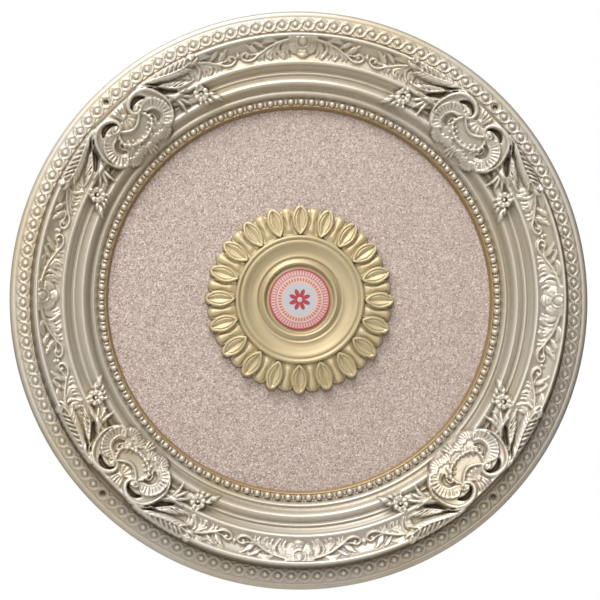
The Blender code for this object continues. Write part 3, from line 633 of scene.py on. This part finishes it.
def carveCartouche(relief):
    ground = relief.ground
    depths = crestRadius - relief.radius
    swelling = np.interp(depths, (-2.6, -1.6, 0, 11, 26, 43, 52, 58, 62, 65),
                         (0, 34, 36.4, 33.8, 31, 27, 22.6, 18.6, 14.5, 10))
    relief.ground = np.maximum(swelling, ground)
    halfWidth = np.interp(depths, (-1, 0, 8, 19.6, 28.4, 36.7, 43.7, 48.4, 53.7, 57.8, 60.4, 62, 63),
                          arcPerDegree * np.array((-1, 6.5, 9.4, 10, 10.6, 10.4, 9.6, 7.8, 7.6, 6.2, 3.6, 1.2, -1)))
    aside = np.abs(relief.along - 45 * arcPerDegree)
    edge = np.clip((halfWidth - aside) / 2.4, 0, 1)
    body = 0.7 * np.sqrt(1 - (1 - edge) ** 2) - 3 * (1 - edge) ** 2
    relief.height = np.where(aside < halfWidth, np.maximum(relief.height, relief.ground + body), relief.height)
    # lower lobes of the shell and the leaves at its foot
    relief.fan((39.9, 44.4), 3, 13.6, 196, 134, 7, 3.4, groove=0.55, rim=1, slope=0.2)
    relief.fan((42.6, 43.6), 3, 12.6, 215, 110, 5, 3.2, scallop=0.16, groove=0.55, rim=0.8, slope=0.2)
    relief.fan((45, 45), 3, 16.6, 240, 60, 3, 4.8, scallop=0.3, groove=0.6, rim=0.6)
    # the great fluted shell with its rolled edge, and the hollow inside it
    shell = [(41, 19.6), (39.9, 22.4), (38.6, 24.2), (37.7, 28.6), (37.4, 34.3), (37.8, 39.4), (38.9, 42.8)]
    relief.frill(shell, 11.4, 4.6, 15, 0.62)
    relief.sink([(40.2, 25.4), (39.2, 29), (38.9, 33.6), (39.4, 38.6)], 4.6, 3.4)
    relief.cord(shell, 1, 3.6)
    relief.cord([(39.9, 27), (39.3, 30.4), (39.4, 34.6), (40, 38)], 0.8, 1.6)
    rolled = [(37.2, 3.6), (36, 10.6), (35, 19.6), (34.5, 28.4), (34.7, 36.6), (35.4, 43), (36.8, 46.8),
              (38.4, 45.4)]
    relief.cord(rolled, 1.5, 4.8, 1.3, 5)
    # the pool with its ragged rock edge
    rim = [(41.3, 21), (40.6, 27), (40.6, 33.2), (41.6, 38.6), (43, 41.6), (45, 42.8)]
    relief.cord(rim, 1.5, 4.2, 1.7, 4.6)
    for centre, width, rise in (
            ((40.7, 24.6), 1.9, 4.6), ((40.3, 28.8), 2.1, 5), ((40.4, 33), 2.3, 5.2), ((41.2, 37), 2.9, 6),
            ((42.4, 40.2), 2.2, 5.2), ((43.4, 41.6), 2.6, 5.8), ((44.4, 43.2), 1.8, 5), ((45, 42), 2, 5.6),
            ((41.6, 33.6), 1.6, 3.2), ((42.6, 36.6), 1.4, 2.8), ((41.2, 41.4), 2, 3.6), ((42.8, 44.8), 1.8, 3.8)):
        relief.knob(centre, width, rise)
    # the palmette between the volutes, and the collar under it
    relief.fan((45, 26.4), 11, 26.4, 72, 36, 4, 4.6, scallop=0.1, groove=0.6, bulge=0.6)
    relief.fan((45, 11.6), 3, 14.6, 205, 130, 5, 4.2, scallop=0.05, groove=0.55, slope=0.4)
    relief.knob((45, 12.4), 3, 5.6)
    relief.cord([(41.4, 17.6), (42.2, 21.6), (43.5, 26.2), (45, 28.2), (46.5, 26.2)], 1.6, 5.6)
    # crescent hole, scroll and eye
    relief.sink([(42.5, 11.6), (42, 8.2), (40.8, 6.6), (39.6, 7.4), (38.6, 10.4)], 2.9, 12)
    relief.cord([(41.2, 18.6), (42.2, 18.8), (42.95, 15.4), (43, 10.4), (42.3, 5.4), (40.9, 2), (39.2, 1.4),
                 (37.7, 3.6), (36.6, 7.6), (35.8, 12.6)], 2.1, 6, 1.5, 5, 0.3)
    relief.cord([(41.6, 1), (39.6, -0.6), (37.6, 0.8), (36, 5), (35.2, 9)], 1.2, 5, 0.9, 4.6)
    relief.knob((41.6, 15.2), 3.7, 6.6)
    curl = [(41.2, 18.8), (40.6, 16.8), (40.8, 13.8), (41.7, 12.6), (42.3, 14.2), (42, 15.8)]
    relief.cord(curl, 0.9, 6.6, 0.8, 7.2)
    relief.ground = ground


def makeCarvedRing():
    r = ring
    radii = np.linspace(r["innerEdge"], r["bandFoot"], round((r["bandFoot"] - r["innerEdge"]) / r["rowStep"]) + 1)
    degrees = np.linspace(0, 45, r["halfColumns"] + 1)
    along, radius = np.meshgrid(degrees * arcPerDegree, radii)
    # the crest ends under the great leaf, and the cove runs up to the carving beyond it
    cove = np.interp(radius, (258, 264, 268, 272, 276, 279.6), (26.7, 27.2, 25.6, 21.6, 16.4, 12.4))
    blend = np.clip((degrees - r["leafStart"]) / r["leafBlend"], 0, 1)
    ground = heightAt(radius, mouldings)
    ground = np.where(radius > r["coveStart"], ground + (np.minimum(cove, ground) - ground) * blend, ground)
    relief = Relief(along, radius, ground, crestRadius - r["carvingEdge"])
    for carve in (carveHalfFlower, carveFrieze, carveGreatLeaves, carveDaisy, carveCartouche):
        carve(relief)
    rise = relief.height - relief.ground
    near = np.pad(rise, 1, mode="reflect")
    rise = (near[:-2, 1:-1] + near[2:, 1:-1] + near[1:-1, :-2] + near[1:-1, 2:] + 4 * rise) / 8
    half = relief.ground + rise
    # glaze and painted shade in the carving's hollows, and a painted highlight on its crests
    glazeShadeAndHighlight = glazeShadeAndHighlightOf(half, r["glazeShadeDepth"], "reflect", r["glazeShadeReach"])
    # painted shade lies along the inner scotia and beside the fillet
    glazeShadeAndHighlight += np.interp(radius, (209, 213, 216, 219, 222, 225), (0.35, 0.36, 0.44, 0.42, 0.24, 0))
    glazeShadeAndHighlight += np.interp(radius, (235, 237, 242, 245), (0, 0.15, 0.12, 0))
    whole = np.hstack([half, half[:, -2::-1]])
    glazeShadeAndHighlight = np.hstack([glazeShadeAndHighlight, glazeShadeAndHighlight[:, -2::-1]])
    print("carving drawn, highest", round(float(whole.max()), 2), "mm")
    rows = list(zip(radii, whole)) + [(r["bandFoot"], 0), (r["innerEdge"], 0)]
    for quarter in range(r["quarters"]):
        angles = np.radians(np.linspace(0, 90, whole.shape[1]) + 90 * quarter)
        castPiece(f"carvedQuarter{quarter + 1}", rows, angles, pearl, "frame_ring", glazeShadeAndHighlight, False)


makeCarvedRing()


# Outer band: two cords that twist round a row of beads, between a groove and a rounded rim.
guilloche = {
    "inner": 279.6, "outer": 292.8, "rowStep": 0.55, "middle": 286.2,
    "beadCount": 132, "columnsPerBead": 16, "beadRadius": 2.9, "beadRise": 2.6,
    "sway": 5.6, "fullness": 0.7, "cordWidth": 1.3, "cordRise": 1.5, "cordGroove": 0.6,
    "holeRadius": 2.5, "sinkRadius": 3.5, "sinkDepth": 1.7, "holeFloor": 1.0, "holeSides": 32,
    "bareTurn": 0.7,          # degrees beside each screw mark without a bead
    # glaze and painted shade in the hollows, the rim made a little darker, and painted shade inside the screw marks
    "glazeShadeDepth": 0.95, "rimDarkening": 0.1, "holeShade": 1.6,
}
rimSection = [(279.6, 12), (293, 11), (293.8, 10.6), (294.6, 10.7), (296, 10.9), (297.4, 10.6), (298.6, 9.9),
              (299.4, 8.9), (300, 7.4)]


def makeGuilloche():
    g = guilloche
    radii = np.concatenate([np.arange(g["inner"], g["outer"], g["rowStep"]), [point[0] for point in rimSection[1:]],
                            [298.9, 299.7]])      # two more rows round off the rim
    radii.sort()
    angles = fullTurn(g["beadCount"] * g["columnsPerBead"])
    angle, radius = np.meshgrid(angles, radii)
    ground = heightAt(radius, rimSection)
    pitch = 2 * math.pi / g["beadCount"]
    turn = angle / pitch - 0.5
    aside = (turn - np.round(turn)) * pitch * radius
    height = ground.copy()
    bead = np.hypot(aside, radius - g["middle"]) / g["beadRadius"]
    holeTurn = np.abs(np.degrees(angle) % 90 - 45) < g["bareTurn"]
    height += np.where(holeTurn, 0, g["beadRise"] * np.sqrt(np.maximum(1 - bead ** 2, 0)))
    beat = np.cos(math.pi * turn)
    wave = np.sign(beat) * np.abs(beat) ** g["fullness"]
    for way in (1, -1):
        sway = way * g["sway"] * wave
        steep = np.gradient(sway, angles[1] * g["middle"], axis=1)
        across = np.minimum(np.abs(radius - g["middle"] - sway) / np.sqrt(1 + steep ** 2) / g["cordWidth"], 1)
        # each cord is grooved along its middle, and higher on one slope than on the other
        body = np.sqrt(1 - across ** 2) * (1 - g["cordGroove"] * np.exp(-(across / 0.3) ** 2))
        height = np.maximum(height, ground + g["cordRise"] * (1 + 0.4 * np.clip(steep / 2, -1, 1)) * body)
    # glaze and painted shade between beads and cords, a painted highlight on their crests; each bead gets a painted
    # highlight on top and painted shade round its foot, and the rim is made a little darker
    glazeShadeAndHighlight = glazeShadeAndHighlightOf(height, g["glazeShadeDepth"], "wrap")
    glazeShadeAndHighlight = np.where((bead < 1) & ~holeTurn, 0.35 - 1.5 * (1 - bead ** 2), glazeShadeAndHighlight) + g["rimDarkening"] * (radius > g["outer"])
    rows = list(zip(radii, height)) + [(radii[-1], 0), (g["inner"], 0)]
    band = castPiece("guillocheBand", rows, angles, pearl, "frame_ring", glazeShadeAndHighlight)
    # the four countersunk screw marks, moulded blind: each tool is a stack of rings, in millimetres
    surface = heightAt(g["middle"], rimSection)
    profile = ((g["sinkRadius"], 22), (g["sinkRadius"], surface - 0.3), (g["holeRadius"], surface - g["sinkDepth"]),
               (g["holeRadius"], g["holeFloor"]))
    sides = g["holeSides"]
    turns = fullTurn(sides)
    faces = [(r * sides + k, (r + 1) * sides + k, (r + 1) * sides + (k + 1) % sides, r * sides + (k + 1) % sides)
             for r in range(len(profile) - 1) for k in range(sides)]
    faces += [tuple(range(sides)), tuple(range(len(profile) * sides - 1, (len(profile) - 1) * sides - 1, -1))]
    for quarter in range(4):
        turned = math.radians(45 + 90 * quarter)
        verts = [((wide * math.cos(t) + g["middle"] * math.sin(turned)) / 1000, -high / 1000,
                  (wide * math.sin(t) + g["middle"] * math.cos(turned)) / 1000)
                 for wide, high in profile for t in turns]
        cutter = bpy.data.meshes.new("screwMark")
        cutter.from_pydata(verts, [], faces)
        # the tool's faces carry full painted shade into each mark
        dark = cutter.attributes.new("glazeShadeAndHighlight", "FLOAT", "POINT")
        dark.data.foreach_set("value", np.full(len(verts), g["holeShade"], dtype=np.float32))
        tool = addObject("screwMark", cutter)
        cut = band.modifiers.new("screwMark", "BOOLEAN")
        cut.operation, cut.solver, cut.object = "DIFFERENCE", "EXACT", tool
        band.data = bpy.data.meshes.new_from_object(band.evaluated_get(bpy.context.evaluated_depsgraph_get()))
        band.modifiers.clear()
        bpy.data.objects.remove(tool)


makeGuilloche()


# Inner edge of the ring: the ledge with its string of pearls and spacer blocks, the lip and the rebate behind it.
pearlString = {
    "count": 120, "columnsPerPearl": 12, "middle": 205.4, "pearlRadius": 3.5, "pearlRise": 4.9,
    "spacerLength": 1.3, "spacerWidth": 1.8, "spacerRise": 2.3,
    "rebateRadius": 205.7, "rebateDepth": 3.3,
    "glazeShadeDepth": 1.4, "highlightShare": 0.75, "pearlHighlight": -0.6,    # pearls and spacers get a painted highlight on top
}
ledgeSection = [(198.2, 4.4), (198.25, 5.4), (198.5, 6.4), (199.4, 8), (200.2, 9.6), (200.8, 10.3), (201.4, 10.6),
                (202, 10.3), (202.6, 10), (208, 10.2), (208.8, 10.6)]


def makePearlString():
    s = pearlString
    inner, outer = ledgeSection[0][0], ledgeSection[-1][0]
    radii = np.concatenate([[inner, 198.25, 198.5, 198.9, 199.4, 199.8, 200.2, 200.8, 201.4, 201.8],
                            np.linspace(202.2, outer, 15)])
    angles = fullTurn(s["count"] * s["columnsPerPearl"])
    angle, radius = np.meshgrid(angles, radii)
    ground = heightAt(radius, ledgeSection)
    pitch = 2 * math.pi / s["count"]
    aside = (angle / pitch - np.round(angle / pitch)) * pitch * radius
    gap = np.hypot(aside, radius - s["middle"]) / s["pearlRadius"]
    floor = heightAt(s["middle"], ledgeSection)
    pearls = floor + s["pearlRise"] * np.maximum(1 - gap ** 2, 0) ** 0.45
    height = np.where(gap < 1, np.maximum(ground, pearls), ground)
    between = np.abs(np.abs(aside) - pitch * s["middle"] / 2)
    block = (between < s["spacerLength"]) & (np.abs(radius - s["middle"]) < s["spacerWidth"])
    height = np.where(block, np.maximum(height, floor + s["spacerRise"]), height)
    # glaze and painted shade between the pearls, and a painted highlight on pearls and spacers
    glazeShadeAndHighlight = glazeShadeAndHighlightOf(height, s["glazeShadeDepth"], "wrap")
    glazeShadeAndHighlight = np.where((gap < s["highlightShare"]) | block, s["pearlHighlight"], glazeShadeAndHighlight)
    rows = list(zip(radii, height)) + [(outer, 0), (s["rebateRadius"], 0), (s["rebateRadius"], s["rebateDepth"]),
                                       (inner, s["rebateDepth"])]
    castPiece("pearlString", rows, angles, pearl, "frame_ring", glazeShadeAndHighlight)


makePearlString()


# Panel: a foam board with a rough coat of glitter sand, plain where the rosette hides it.
panel = {"radius": 205.4, "thickness": 3.0, "grain": 0.14, "rows": 96, "columns": 620, "seed": 7}


def makePanel():
    p = panel
    grains = np.random.default_rng(p["seed"])
    radii = np.concatenate([[20, 60, 96], np.linspace(97, p["radius"] - 0.4, p["rows"]), [p["radius"]]])
    angles = fullTurn(p["columns"])
    rough = grains.uniform(-1, 1, (len(radii), p["columns"])) * p["grain"]
    rough[:3], rough[-1] = 0, -0.3
    rows = list(zip(radii, p["thickness"] - p["grain"] + rough)) + [(p["radius"], 0), (20, 0)]
    castPiece("glitterPanel", rows, angles, sand, "panel_disc", core=True)


makePanel()


# Rosette: a ring of eggs with lobes between them round a lip, and a dish with stepped rings.
rosette = {
    "back": 3.3, "radius": 98.4, "lobeRadius": 96.4, "notchRadius": 91.4, "eggCount": 20, "columnsPerEgg": 44,
    "dishRadius": 32.4, "rowStep": 0.62, "eggRows": 45,
    "eggInner": 67.6, "eggWidth": 9.0, "eggRise": 5.6, "eggTip": 0.22,
    "lensWidth": 4.7, "lensDepth": 3.2, "grooveDepth": 1.8,
    "lobeWidth": 4.7, "lobeRise": 3.6, "lobeTip": 0.27,       # tips are shares of the pitch
    # glaze and painted shade in the hollows, a dark line round the outline, partly glue and partly painted contact
    # shadow, and the dish darker throughout
    "rimThickness": 1.2, "glazeShadeDepth": 1.3, "edgeGlueAndShade": 0.5, "dishDarkening": 0.32,
}
dishSection = [
    (0, 6), (32.4, 6), (33.2, 5.6), (34.6, 5.6), (35.4, 6.6), (36.2, 9), (37, 10.4), (37.8, 10.9), (38.6, 10.7),
    (40, 9.9), (41.6, 8.8), (42.5, 8), (43, 8.1), (43.6, 9), (44.4, 9.7), (45.2, 9.6), (46.6, 9.4), (48.4, 9.4),
    (50, 9.5), (51.8, 9.8), (53.6, 10.1), (55.2, 10.5), (56.4, 10.9), (57.4, 11.3), (58.6, 11.6), (60, 11.7),
    (61.2, 11.5), (61.8, 11.1), (62.3, 11.2), (62.9, 12.2), (63.8, 12.9), (65, 13), (66, 12.6), (66.8, 10.6),
    (67.4, 8.2), (68.2, 6.8), (84, 5.5), (98.6, 3.6)]


def makeRosette():
    q = rosette
    columns = q["eggCount"] * q["columnsPerEgg"]
    angles = fullTurn(columns)
    pitch = 2 * math.pi / q["eggCount"]
    turn = angles / pitch - np.round(angles / pitch)
    tip = np.sqrt(np.maximum(1 - (turn / q["eggTip"]) ** 2, 0))
    lobeTip = np.sqrt(np.maximum(1 - ((0.5 - np.abs(turn)) / q["lobeTip"]) ** 2, 0))
    edge = q["notchRadius"] + np.maximum((q["radius"] - q["notchRadius"]) * tip,
                                         (q["lobeRadius"] - q["notchRadius"]) * lobeTip)
    inner = np.concatenate([[8, 20, 31], np.arange(q["dishRadius"], q["eggInner"] + 0.2, q["rowStep"])])
    outer = np.linspace(0, 1, q["eggRows"] + 1)[1:]
    radius = np.vstack([np.repeat(inner[:, None], columns, 1),
                        inner[-1] + (edge - inner[-1])[None, :] * outer[:, None]])
    ground = heightAt(radius, dishSection)
    share = np.clip((radius - q["eggInner"]) / (q["radius"] - q["eggInner"]), 0, 1)
    onEggs = share > 0
    aside = np.abs(turn)[None, :] * pitch * radius
    swell = np.maximum(np.sin(math.pi * share ** 1.2), 0)
    across = aside / (q["eggWidth"] * swell ** 0.5 + 1e-6)
    seed = np.maximum(np.sin(math.pi * np.clip((share - 0.1) / 0.82, 0, 1)), 0)
    inSeed = aside / (q["lensWidth"] * seed ** 0.75 + 1e-6)
    # every egg is a rolled rim round a hollow seed with a crease along its middle
    body = q["eggRise"] * np.sqrt(1 - np.clip((across - 0.72) / 0.28, 0, 1) ** 2)
    body -= q["grooveDepth"] * np.exp(-((inSeed - 1.14) / 0.18) ** 2) * np.clip(seed * 3, 0, 1)
    body -= np.where(inSeed < 1, 0.3 + q["lensDepth"] * (1 - inSeed) * seed ** 0.3, 0)
    height = np.where((across < 1) & onEggs, ground + body, ground)
    # a waisted lobe fills each gap, and the outline is rounded down to the rim's thickness
    between = (0.5 - np.abs(turn))[None, :] * pitch * radius
    waist = q["lobeWidth"] * (1 - 0.5 * np.exp(-((share - 0.42) / 0.2) ** 2))
    lobe = q["lobeRise"] * np.sqrt(np.maximum(1 - (between / waist) ** 2, 0)) * np.sqrt(np.clip(share * 6, 0, 1))
    height = np.maximum(height, ground + np.where(onEggs, lobe * (0.5 + 0.5 * share), 0))
    drop = np.clip((edge[None, :] - radius) / (1.8 + 3.2 * lobeTip * (tip == 0))[None, :], 0, 1)
    thin = q["rimThickness"]
    height = np.where(radius > q["eggInner"] + 8, thin + (height - thin) * np.sqrt(1 - (1 - drop) ** 2), height)
    # glaze and painted shade in the hollows, a glue line with painted contact shadow round the outline, and the whole
    # dish darker
    glazeShadeAndHighlight = glazeShadeAndHighlightOf(height, q["glazeShadeDepth"], "wrap")
    glazeShadeAndHighlight += q["edgeGlueAndShade"] * (radius > edge[None, :] - 0.9) + q["dishDarkening"] * (radius < 66.5)
    rows = [(r, h + q["back"]) for r, h in zip(radius, height)] + [(edge, q["back"]), (8, q["back"])]
    castPiece("eggRosette", rows, angles, gold, "centre_rosette", glazeShadeAndHighlight, core=True)


makeRosette()


# Sticker in the dish, with its edge a little rounded.
sticker = {"radius": 31.8, "low": 9.6, "high": 10.0, "columns": 160}


def makeSticker():
    s = sticker
    angles = fullTurn(s["columns"])
    radius, high = s["radius"], s["high"]
    rows = [(1, high), (radius * 0.5, high), (radius - 0.3, high), (radius - 0.06, high - 0.06), (radius, high - 0.2),
            (radius, s["low"]), (1, s["low"])]
    castPiece("roundSticker", rows, angles, paper, "centre_label", core=True, sharpAngle=60)


makeSticker()


# Studio: a pale floor under the rose, which hangs upright, and soft light from the upper left.
studio = {
    "floorHeight": -1.5, "floorRadius": 3.4, "floorLow": "e9e7e3", "floorHigh": "efede9", "cloudSize": 400,
    # name, place in metres, size, power in watts and colour
    "lights": [
        ("keyLight", (-0.65, -1.62, 2.5), 2.2, 107, "fffaf2"),
        ("fillLight", (-0.25, -3.4, 1.1), 0.8, 31, "fff4e8"),
        ("backLight", (-1.4, 2.4, 1.8), 2.0, 12, "fffaf2")],
    "skyLow": "0c0907", "skyMiddle": "564e46", "skyHigh": "e8e6e4", "skyStrength": 0.67,
    "skyFrom": (-0.55, -0.35, 0.76),      # the sky is brightest there
}


# a round softbox that faces the middle of the back
def softbox(name, place, size, power, colour):
    light = bpy.data.lights.new(name, "AREA")
    light.shape, light.size, light.energy, light.color = "DISK", size, power, toLinear(colour)[:3]
    lamp = addObject(name, light)
    lamp.location = place
    aim = -np.array(place)
    flatRun = math.hypot(aim[0], aim[1])
    lamp.rotation_euler = (math.atan2(flatRun, -aim[2]), 0, math.atan2(-aim[0], aim[1]))


def makeStudio():
    s = studio
    for light in s["lights"]:
        softbox(*light)
    material, tree, shader, place = newMaterial("pale studio vinyl", {"Roughness": 0.8})
    cloud = addNode(tree, "TexNoise", {"Scale": perMetre(s["cloudSize"]), "Vector": place})
    tone = addNode(tree, "ValToRGB", {"Fac": cloud}, [(0.3, s["floorLow"]), (0.7, s["floorHigh"])])
    tree.links.new(tone, shader.inputs["Base Color"])
    shape = bmesh.new()
    bmesh.ops.create_circle(shape, cap_ends=True, segments=96, radius=s["floorRadius"])
    mesh = bpy.data.meshes.new("studioFloor")
    shape.to_mesh(mesh)
    shape.free()
    mesh.materials.append(material)
    floor = addObject("studioFloor", mesh)
    floor.location = (0, 0, s["floorHeight"])
    world = bpy.data.worlds.new("studio")
    bpy.context.scene.world = world
    world.use_nodes = True
    tree = world.node_tree
    ground = tree.nodes["Background"]
    ground.inputs["Strength"].default_value = s["skyStrength"]
    way = addNode(tree, "TexCoord", {})
    lit = addNode(tree, "VectorMath", {"operation": "DOT_PRODUCT", 1: s["skyFrom"], 0: way}, give="Value")
    level = addNode(tree, "MapRange", {"From Min": -1.0, "From Max": 1.0, "Value": lit})
    sky = addNode(tree, "ValToRGB", {"Fac": level}, [(0.1, s["skyLow"]), (0.85, s["skyHigh"]), (0.5, s["skyMiddle"])])
    tree.links.new(sky, ground.inputs["Color"])
    # the camera sees plain white behind the rose, and the sky only lights it
    white = addNode(tree, "Background", {"Color": (1, 1, 1, 1), "Strength": 1.0})
    path = addNode(tree, "LightPath", {})
    both = addNode(tree, "MixShader", {0: path, 1: ground.outputs["Background"], 2: white})
    tree.links.new(both, tree.nodes["World Output"].inputs["Surface"])
    bpy.context.scene.view_settings.view_transform = "Standard"


makeStudio()
print("studio lit")
